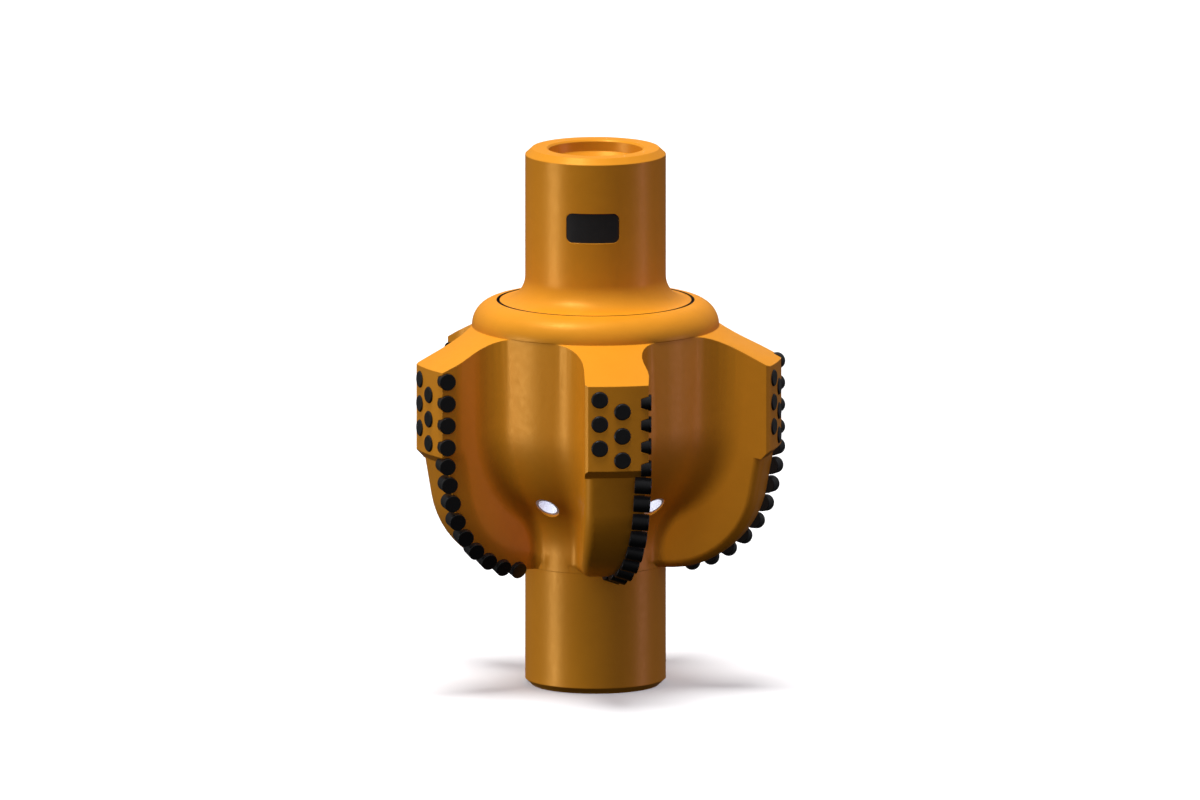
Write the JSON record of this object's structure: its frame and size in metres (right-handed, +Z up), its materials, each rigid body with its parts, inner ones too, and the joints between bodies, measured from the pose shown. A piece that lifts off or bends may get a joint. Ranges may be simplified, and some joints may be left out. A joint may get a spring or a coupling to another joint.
{
  "type": "pdc reamer",
  "caption": "Bladed reamer body with diamond cutters and wear inserts on its blades, fluid ports between them, and a tubular shank with a threaded box at each end.",
  "frame": {"origin": "centre of the lower shank's end face, on the tool's axis", "axes": "+Z up the tool's axis to the upper shank; -Y faces blade 1's gauge pad"},
  "size_m": [0.4235, 0.4066, 0.617],
  "materials": {
    "body_paint": "satin orange enamel",
    "diamond": "polished near-black diamond table",
    "carbide": "ground dark carbide",
    "bare_steel": "bright machined steel",
    "seal_rubber": "black"
  },
  "bodies": {
    "root": {"blade_body": "body_paint", "upper_sub": "body_paint", "profile_cutters_1": "diamond", "profile_cutters_2": "diamond", "profile_cutters_3": "diamond", "profile_cutters_4": "diamond", "profile_cutters_5": "diamond", "gauge_cutters_1": "diamond", "gauge_cutters_2": "diamond", "gauge_cutters_3": "diamond", "gauge_cutters_4": "diamond", "gauge_cutters_5": "diamond", "gauge_inserts_1": "carbide", "gauge_inserts_2": "carbide", "gauge_inserts_3": "carbide", "gauge_inserts_4": "carbide", "gauge_inserts_5": "carbide", "nozzle_sleeve_1": "bare_steel", "nozzle_sleeve_2": "bare_steel", "nozzle_sleeve_3": "bare_steel", "nozzle_sleeve_4": "bare_steel", "nozzle_sleeve_5": "bare_steel", "nozzle_1": "carbide", "nozzle_2": "carbide", "nozzle_3": "carbide", "nozzle_4": "carbide", "nozzle_5": "carbide", "nozzle_seal_1": "seal_rubber", "nozzle_seal_2": "seal_rubber", "nozzle_seal_3": "seal_rubber", "nozzle_seal_4": "seal_rubber", "nozzle_seal_5": "seal_rubber"}
  },
  "joints": []
}
